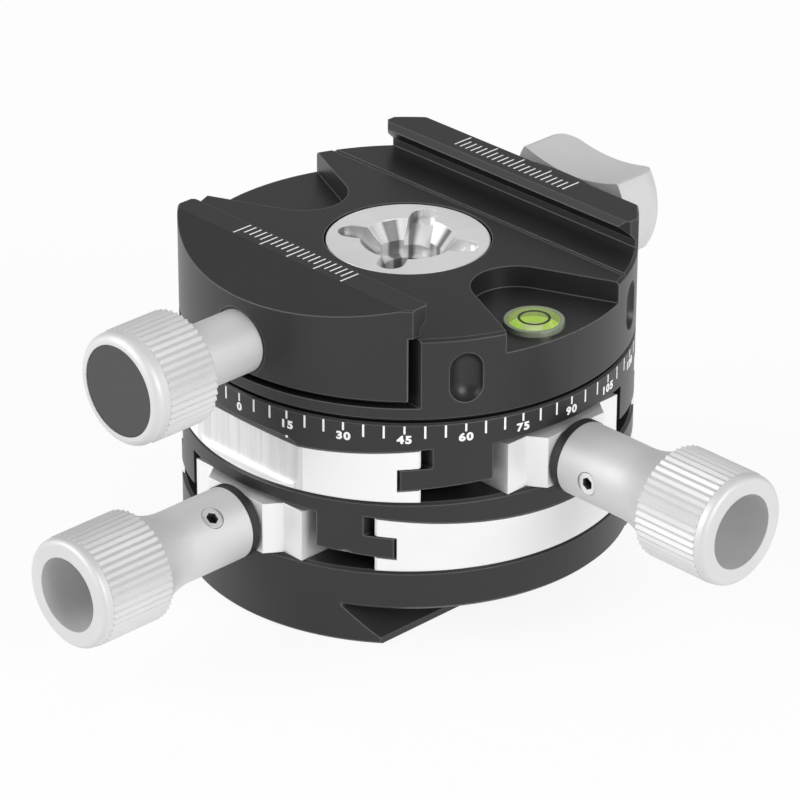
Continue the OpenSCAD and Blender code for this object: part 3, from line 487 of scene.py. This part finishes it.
class PANHEAD_OT_knobs(Operator):
    """Finish the fluted knobs, the wing lever, the dark cap and the set screws"""

    bl_idname = "panhead.knobs"
    bl_label = "Knobs and Lever"

    def execute(self, context):
        finish = context.scene.pan_head_finish
        knob = blasted("knob_silver", tuple(finish.knob), finish.knob_roughness, finish, 0.4)
        coat(knob, "lower_knob", "upper_knob", "clamp_knob", "pan_lock_lever")
        cap = Paint("cap_dark")
        leather = cap.noise(2600.0, 2.0)
        cap.surface(
            Base_Color=cap.blend(shade(finish.cap, 0.8), shade(finish.cap, 1.3), leather),
            Roughness=0.46 + 0.1 * leather,
        )
        cap.relief(leather, 0.12, COARSE, finish.edge)
        coat(cap, "knob_cap")
        self.finish_set_screws(finish)
        return {"FINISHED"}


    def finish_set_screws(self, finish):
        """Bright rings round hexagon sockets darkened with painted shade."""
        socket = Paint("set_screw_steel", Metallic=0.5, Roughness=0.3)
        scratch = socket.noise(3000.0, 2.0)
        # Painted shade: ambient occlusion darkens the recessed hexagon sockets
        open_sky = socket.node(
            "ShaderNodeAmbientOcclusion", {"samples": 8}, {"Distance": 1.5 * MILLIMETRE}, "AO"
        )
        bright = socket.blend((0.8, 0.8, 0.8), (0.98, 0.98, 0.98), scratch)
        socket.surface(Base_Color=socket.blend((0.02, 0.02, 0.02), bright, open_sky ** 3.0))
        socket.relief(scratch, 0.15, FINE, finish.edge)
        coat(socket, "lower_set_screw", "upper_set_screw")


class PANHEAD_OT_centre_nut(Operator):
    """Finish the turned centre nut and the hub under it"""

    bl_idname = "panhead.centre_nut"
    bl_label = "Centre Nut"

    def execute(self, context):
        finish = context.scene.pan_head_finish
        nut = turned("nut_turned", tuple(finish.nut), 0.26, finish, 0.45, 0.1)
        self.streak(nut, tuple(finish.nut))
        coat(nut, "centre_nut")
        coat(turned("hub_turned", tuple(finish.steel), 0.26, finish), "pan_hub")
        return {"FINISHED"}

    def streak(self, paint, tone):
        """Darkens the nut's funnel with painted shade, broken by soft streaks of painted
        reflection that point to the axis.
        """
        x, y, z = paint.axes()
        radius = (x ** 2.0 + y ** 2.0) ** 0.5
        way = paint.node("ShaderNodeCombineXYZ", None, {0: x.over(radius), 1: y.over(radius)})
        fan = paint.noise(2.6, 1.0, where=way)
        streaks = paint.node("ShaderNodeClamp", None, {"Value": 7.0 * fan - 3.0})
        flange = paint.blend(shade(tone, 0.95), shade(tone, 1.08), fan)
        # Painted shade and painted reflections: the recessed funnel drops to about a quarter of
        # the tone, lit again in streaks
        painted_funnel_shade = paint.blend(shade(tone, 0.26), tone, streaks)
        paint.surface(
            Base_Color=paint.blend(flange, painted_funnel_shade, z < NUT_TOP - 0.1 * MILLIMETRE)
        )


class PANHEAD_OT_works(Operator):
    """Finish the screws, worms, racks, bearings, pins, springs and the friction ring"""

    bl_idname = "panhead.works"
    bl_label = "Works and Fasteners"

    def execute(self, context):
        finish = context.scene.pan_head_finish
        steel = blasted("steel_ground", tuple(finish.steel), 0.3, finish, 1.0, 0.4)
        coat(
            steel, "lower_worm", "upper_worm", "guide_pins", "jaw_springs", "clamp_screw",
            "pan_lock_screw", "lower_rail_screws", "upper_rail_screws", "hub_screws",
            "lower_housing_screws", "upper_housing_screws", "lower_rack_screws",
            "upper_rack_screws",
        )
        brass = blasted("brass_machined", tuple(finish.brass), 0.3, finish, 1.0, 0.4)
        coat(
            brass, "lower_rack", "upper_rack", "lower_end_bearing", "upper_end_bearing",
            "pan_lock_shoe",
        )
        ring = blasted("friction_plastic", (0.8, 0.8, 0.74), 0.45, finish, 0.0, 0.5)
        coat(ring, "friction_ring")
        return {"FINISHED"}


class PANHEAD_OT_dial(Operator):
    """Put the degree marks, the numbers and the dot on the dial's band"""

    bl_idname = "panhead.dial"
    bl_label = "Degree Dial"

    def execute(self, context):
        dial = context.scene.pan_head_dial
        paint = mark_paint(tuple(dial.paint))
        top = DIAL_TOP - dial.top_drop
        marks = bmesh.new()
        for angle in range(0, 360, dial.step):
            tall = dial.long_mark if angle % dial.number_step else dial.short_mark
            add_bar(
                marks, (dial.mark_width, tall, DIAL_MARK),
                on_dial(angle, top - tall / 2, DIAL_RADIUS),
            )
        piece("dial_marks", marks, paint, "dial")
        numbers = bmesh.new()
        for angle in range(0, 360, dial.number_step):
            self.add_number(numbers, angle, top - dial.number_drop, dial)
        piece("dial_numbers", numbers, paint, "dial")
        dot = bmesh.new()
        matrix = on_dial(dial.number_step, top - dial.dot_drop, DIAL_RADIUS)
        bmesh.ops.create_cone(
            dot, cap_ends=True, segments=24, radius1=dial.dot_radius, radius2=dial.dot_radius,
            depth=DIAL_MARK, matrix=matrix,
        )
        piece("dial_dot", dot, paint, "dial")
        return {"FINISHED"}

    def add_number(self, shape, angle, height, dial):
        """Adds one number, wrapped on the band."""
        words = bpy.data.curves.new("digits", "FONT")
        words.body = str(angle)
        words.align_x, words.align_y = "CENTER", "CENTER"
        words.bevel_depth = dial.number_bold
        words.space_character = 1.2
        source = bpy.data.objects.new("digits", words)
        flat = bpy.data.meshes.new_from_object(source)
        scale = dial.number_height / 0.73
        start = len(shape.verts)
        shape.from_mesh(flat)
        shape.verts.ensure_lookup_table()
        for corner in shape.verts[start:]:
            across = corner.co.x * scale * dial.number_stretch
            spot = on_dial(
                angle + math.degrees(across / DIAL_RADIUS), height + corner.co.y * scale,
                DIAL_RADIUS + corner.co.z * scale * 0.5,
            )
            corner.co = spot.translation
        bpy.data.objects.remove(source)
        bpy.data.curves.remove(words)
        bpy.data.meshes.remove(flat)


class PANHEAD_OT_rulers(Operator):
    """Put the millimetre rulers on top of both jaws"""

    bl_idname = "panhead.rulers"
    bl_label = "Jaw Rulers"

    def execute(self, context):
        rulers = context.scene.pan_head_rulers
        paint = mark_paint(tuple(context.scene.pan_head_dial.paint))
        self.add_ruler("ruler_fixed", paint, "clamp", rulers.fixed_start, 1.0, rulers)
        self.add_ruler("ruler_sliding", paint, "jaw", rulers.slide_start, -1.0, rulers)
        return {"FINISHED"}

    def add_ruler(self, name, paint, body, start, side, rulers):
        """Adds one jaw's ruler; side is the sign of its jaw along Y."""
        shape = bmesh.new()
        middle = rulers.count // 2
        for step in range(rulers.count):
            tall = rulers.short_mark if (step - middle) % 5 else rulers.long_mark
            spot = Matrix.Translation((
                (step - middle) * rulers.pitch - rulers.offset, side * (start + tall / 2), JAW_TOP
            ))
            add_bar(shape, (rulers.mark_width, tall, RULER_MARK), spot)
        piece(name, shape, paint, body)


class PANHEAD_OT_bubble_level(Operator):
    """Finish the bubble level's cup, liquid and lens, and add its ring and bubble"""

    bl_idname = "panhead.bubble_level"
    bl_label = "Bubble Level"

    def execute(self, context):
        level = context.scene.pan_head_level
        finish = context.scene.pan_head_finish
        cup = blasted("level_cup_clear", (0.3, 0.34, 0.25), 0.1, finish, 0.3, 0.3)
        coat(cup, "level_cup")
        # Emission gives the liquid a painted glow, though it is no lamp
        liquid = Paint(
            "level_liquid_green", Roughness=0.12, Coat_Weight=0.4, Emission_Strength=level.glow
        )
        swirl = liquid.noise(500.0, 2.0)
        tone = tuple(level.liquid)
        green = liquid.blend(shade(tone, 0.85), shade(tone, 1.15), swirl)
        liquid.surface(Base_Color=green, Emission_Color=green)
        coat(liquid, "level_liquid")
        lens = Paint("level_lens_clear", Roughness=0.04, Alpha=0.22)
        haze = lens.noise(700.0, 2.0)
        lens.surface(Base_Color=lens.blend((0.66, 0.84, 0.2), (0.78, 0.92, 0.35), haze))
        coat(lens, "level_lens")
        self.add_ring(level)
        self.add_bubble(level)
        return {"FINISHED"}

    def add_ring(self, level):
        """Adds the black ring printed on the lens."""
        ink = Paint("level_ring_black", Roughness=0.35)
        blot = ink.noise(3000.0, 1.0)
        ink.surface(Base_Color=ink.blend((0.01, 0.01, 0.01), (0.03, 0.03, 0.03), blot))
        shape = bmesh.new()
        spun = []
        half = level.ring_width / 2
        for radius in (level.ring_radius - half, level.ring_radius + half):
            for height in (LENS_HIGH.z - 0.02 * MILLIMETRE, LENS_HIGH.z + 0.03 * MILLIMETRE):
                spun.append((radius, height))
        spin(shape, [spun[0], spun[1], spun[3], spun[2]], LENS_CENTRE, 64, closed=True)
        piece("level_ring", shape, ink, "clamp")

    def add_bubble(self, level):
        """Adds the bubble under the lens, a low dome."""
        air = Paint("level_bubble_pale", Roughness=0.08, Coat_Weight=1.0)
        shine = air.noise(600.0, 1.0)
        air.surface(
            Base_Color=air.blend(shade(level.bubble, 0.9), tuple(level.bubble), shine)
        )
        shape = bmesh.new()
        tall = 0.45 * MILLIMETRE
        outline = [
            (
                level.bubble_radius * math.cos(math.radians(a)),
                LENS_LOW.z + tall * math.sin(math.radians(a)),
            )
            for a in range(0, 90, 10)
        ]
        spin(shape, [*outline, (0.0, LENS_LOW.z + tall)], LENS_CENTRE, 48)
        made = piece("level_bubble", shape, air, "clamp")
        for face in made.data.polygons:
            face.use_smooth = True


def spin(shape, outline, centre, segments, closed=False):
    """Turns an outline of (radius, height) pairs about an upright axis."""
    rings = []
    for k in range(segments):
        turn = math.tau * k / segments
        rings.append([
            shape.verts.new(
                (centre.x + r * math.cos(turn), centre.y + r * math.sin(turn), h)
            )
            for r, h in outline
        ])
    steps = len(outline) if closed else len(outline) - 1
    for k in range(segments):
        here, there = rings[k], rings[(k + 1) % segments]
        for i in range(steps):
            j = (i + 1) % len(outline)
            shape.faces.new((here[i], there[i], there[j], here[j]))
    bmesh.ops.remove_doubles(shape, verts=shape.verts, dist=1e-7)


class PANHEAD_OT_tripod_thread(Operator):
    """Cut the tripod thread into the bore of the foot"""

    bl_idname = "panhead.tripod_thread"
    bl_label = "Tripod Thread"

    def execute(self, context):
        thread = context.scene.pan_head_thread
        finish = context.scene.pan_head_finish
        mount = next(m for m in frame["record"]["mounts"] if m["name"] == "tripod_thread")
        wall = mount["dims"]["r_mm"] * MILLIMETRE + 0.02 * MILLIMETRE
        paint = blasted("thread_black", tuple(finish.black), 0.35, finish)
        shape = bmesh.new()
        segments = 48
        flank = thread.pitch * 0.42
        low = FOOT_BOTTOM + flank + 0.1 * MILLIMETRE
        rings = []
        for k in range(int(thread.turns * segments) + 1):
            turn = math.tau * k / segments
            rise = low + thread.pitch * k / segments
            rings.append([
                shape.verts.new((r * math.cos(turn), r * math.sin(turn), rise + h))
                for r, h in (
                    (wall, -flank), (wall - thread.depth, -flank * 0.14),
                    (wall - thread.depth, flank * 0.14), (wall, flank),
                )
            ])
        for here, there in zip(rings, rings[1:]):
            for i in range(4):
                j = (i + 1) % 4
                shape.faces.new((here[i], there[i], there[j], here[j]))
        shape.faces.new(rings[0])
        shape.faces.new(rings[-1][::-1])
        piece("tripod_thread", shape, paint, "base")
        return {"FINISHED"}


class PANHEAD_OT_stage(Operator):
    """Set up the pale floor, the soft lights and the camera"""

    bl_idname = "panhead.stage"
    bl_label = "Stage"

    def execute(self, context):
        stage = context.scene.pan_head_stage
        self.add_floor(stage)
        self.add_lamp("top_light", *TOP_LIGHT, stage.key)
        self.add_lamp("left_light", *LEFT_LIGHT, stage.side)
        self.add_lamp("right_light", *RIGHT_LIGHT, stage.rim)
        world = bpy.data.worlds.new("even_light")
        world.use_nodes = True
        world.node_tree.nodes["Background"].inputs["Color"].default_value = (1.0, 1.0, 1.0, 1.0)
        world.node_tree.nodes["Background"].inputs["Strength"].default_value = stage.world
        context.scene.world = world
        self.add_camera(context, stage)
        context.scene.view_settings.view_transform = "Standard"
        return {"FINISHED"}

    def add_floor(self, stage):
        """Adds a wide floor: near white with the soft shadow, and clear from below."""
        paint = Paint("floor_white", Roughness=0.85)
        dust = paint.noise(40.0, 2.0)
        paint.surface(
            Base_Color=paint.blend(shade(stage.floor, 0.995), tuple(stage.floor), dust)
        )
        seen = paint.node("ShaderNodeLightPath", output="Is Camera Ray")
        mirrored = paint.node("ShaderNodeLightPath", output="Is Glossy Ray")
        through = paint.node("ShaderNodeLightPath", output="Is Transmission Ray")
        white = paint.node("ShaderNodeEmission", None, {"Color": (1.0, 1.0, 1.0)})
        shader = Signal(paint, paint.shader.outputs[0])
        mixed = paint.node(
            "ShaderNodeMixShader", None,
            {0: stage.floor_lift * (seen + mirrored + through), 1: shader, 2: white},
        )
        behind = paint.node("ShaderNodeNewGeometry", output="Backfacing")
        clear = paint.node("ShaderNodeBsdfTransparent")
        one_sided = paint.node("ShaderNodeMixShader", None, {0: behind, 1: mixed, 2: clear})
        paint.tree.links.new(
            one_sided.socket, paint.tree.nodes["Material Output"].inputs["Surface"]
        )
        shape = bmesh.new()
        bmesh.ops.create_grid(shape, x_segments=1, y_segments=1, size=6.0)
        mesh = bpy.data.meshes.new("floor")
        shape.to_mesh(mesh)
        shape.free()
        floor = bpy.data.objects.new("floor", mesh)
        bpy.context.collection.objects.link(floor)
        floor.data.materials.append(paint.material)
        floor.location.z = FOOT_BOTTOM - 0.02 * MILLIMETRE
        floor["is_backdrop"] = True

    def add_lamp(self, name, place, size, power):
        """Adds a square soft light that faces the object."""
        data = bpy.data.lights.new(name, "AREA")
        data.size = size
        data.energy = power
        lamp = bpy.data.objects.new(name, data)
        lamp.location = place
        lamp.rotation_euler = (AIM - Vector(place)).to_track_quat("-Z", "Y").to_euler()
        bpy.context.collection.objects.link(lamp)

    def add_camera(self, context, stage):
        """Adds the camera where the photograph was taken from."""
        data = bpy.data.cameras.new("camera")
        data.sensor_width = 36.0
        data.lens = stage.lens
        data.shift_x = stage.shift
        camera = bpy.data.objects.new("camera", data)
        back = CAMERA_RIGHT.cross(CAMERA_UP)
        matrix = Matrix((CAMERA_RIGHT, CAMERA_UP, back)).transposed().to_4x4()
        matrix.translation = CAMERA_PLACE
        camera.matrix_world = matrix
        bpy.context.collection.objects.link(camera)
        context.scene.camera = camera


OPERATORS = (
    PANHEAD_OT_black_bodies, PANHEAD_OT_silver_rails, PANHEAD_OT_knobs, PANHEAD_OT_centre_nut,
    PANHEAD_OT_works, PANHEAD_OT_dial, PANHEAD_OT_rulers, PANHEAD_OT_bubble_level,
    PANHEAD_OT_tripod_thread, PANHEAD_OT_stage,
)


class PANHEAD_PT_sidebar(Panel):
    """Lists the settings and steps of the pan head"""

    bl_label = "Pan Head"
    bl_idname = "PANHEAD_PT_sidebar"
    bl_space_type = "VIEW_3D"
    bl_region_type = "UI"
    bl_category = "Pan Head"

    def draw(self, context):
        for group, settings in GROUPS.items():
            box = self.layout.box()
            box.label(text=group.removeprefix("pan_head_").capitalize())
            for name in settings.__annotations__:
                box.prop(getattr(context.scene, group), name)
        for operator in OPERATORS:
            self.layout.operator(operator.bl_idname)


CLASSES = (*GROUPS.values(), *OPERATORS, PANHEAD_PT_sidebar)


def register():
    for entry in CLASSES:
        bpy.utils.register_class(entry)
    for name, settings in GROUPS.items():
        setattr(bpy.types.Scene, name, PointerProperty(type=settings))


def unregister():
    for name in GROUPS:
        delattr(bpy.types.Scene, name)
    for entry in reversed(CLASSES):
        bpy.utils.unregister_class(entry)


def corners():
    """The shown object's lowest and highest corners, as plain lists."""
    return [list(corner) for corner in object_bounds()]


def main():
    register()
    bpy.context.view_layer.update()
    for operator in OPERATORS:
        group, name = operator.bl_idname.split(".")
        getattr(getattr(bpy.ops, group), name)()


if __name__ == "__main__":
    main()
